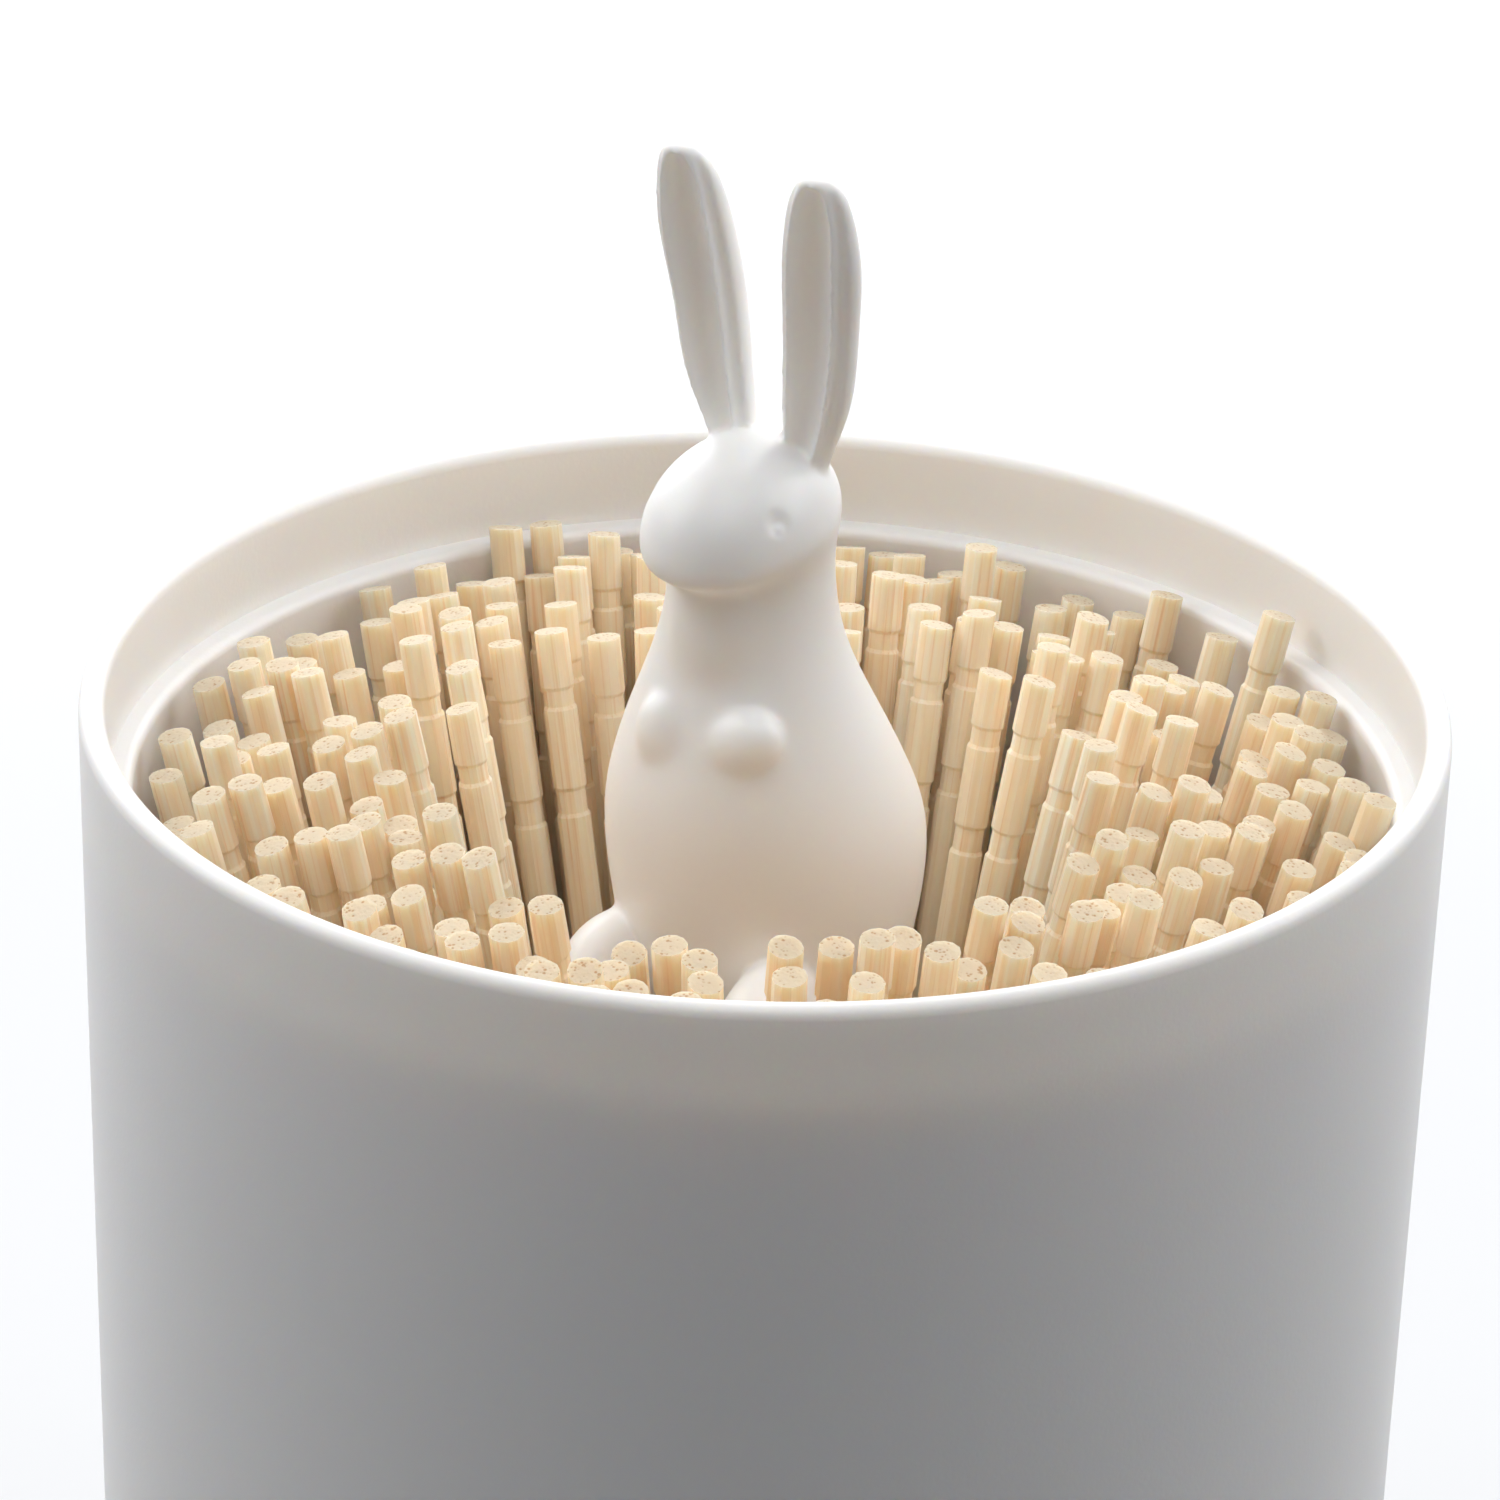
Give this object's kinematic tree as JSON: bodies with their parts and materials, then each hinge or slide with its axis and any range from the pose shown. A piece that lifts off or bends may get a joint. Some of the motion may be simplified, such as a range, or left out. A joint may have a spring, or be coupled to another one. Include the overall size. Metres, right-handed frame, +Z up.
{
  "type": "toothpick holder",
  "caption": "Round white cup with a rabbit figure that is the pull of an inner lift, ringed by fanned wooden toothpicks standing in the open rim.",
  "frame": {"origin": "on the table, under the middle of the cup's base", "axes": "+Z up along the cup's axis, the rabbit faces -Y, +X is on the rabbit's left"},
  "size_m": [0.077, 0.077, 0.109],
  "materials": {
    "cup_white": "satin white moulding with a fine even texture",
    "rabbit_white": "smooth satin white moulding",
    "lift_plastic": "satin white moulding",
    "bush_plastic": "natural bearing plastic",
    "steel": "bright steel",
    "bamboo": "pale raw bamboo with long fibres and open end grain"
  },
  "bodies": {
    "cup": {"cup_body": "cup_white", "guide_spindle": "steel", "base_screw": "steel", "stop_washer": "steel", "stop_screw": "steel"},
    "guide": {"guide_bush": "bush_plastic"},
    "lift": {"lift_tube": "lift_plastic", "toothpick_tray": "lift_plastic", "rabbit_figure": "rabbit_white", "toothpicks_01": "bamboo", "toothpicks_02": "bamboo", "toothpicks_03": "bamboo", "toothpicks_04": "bamboo", "toothpicks_05": "bamboo", "toothpicks_06": "bamboo", "toothpicks_07": "bamboo", "toothpicks_08": "bamboo", "toothpicks_09": "bamboo", "toothpicks_10": "bamboo", "toothpicks_11": "bamboo", "toothpicks_12": "bamboo"},
    "loose_stick": {"loose_toothpick": "bamboo"}
  },
  "joints": [
    {"name": "lift_slide", "type": "slide", "parent": "cup", "child": "guide", "axis": [0, 0, 1], "range_m": [0, 0.032]},
    {"name": "lift_turn", "type": "hinge", "parent": "guide", "child": "lift", "pos_m": [0, 0, 0.0063], "axis": [0, 0, 1], "continuous": true},
    {"name": "stick_pull", "type": "slide", "parent": "lift", "child": "loose_stick", "axis": [0.123, 0.2341, 0.9644], "range_m": [0, 0.06]}
  ]
}
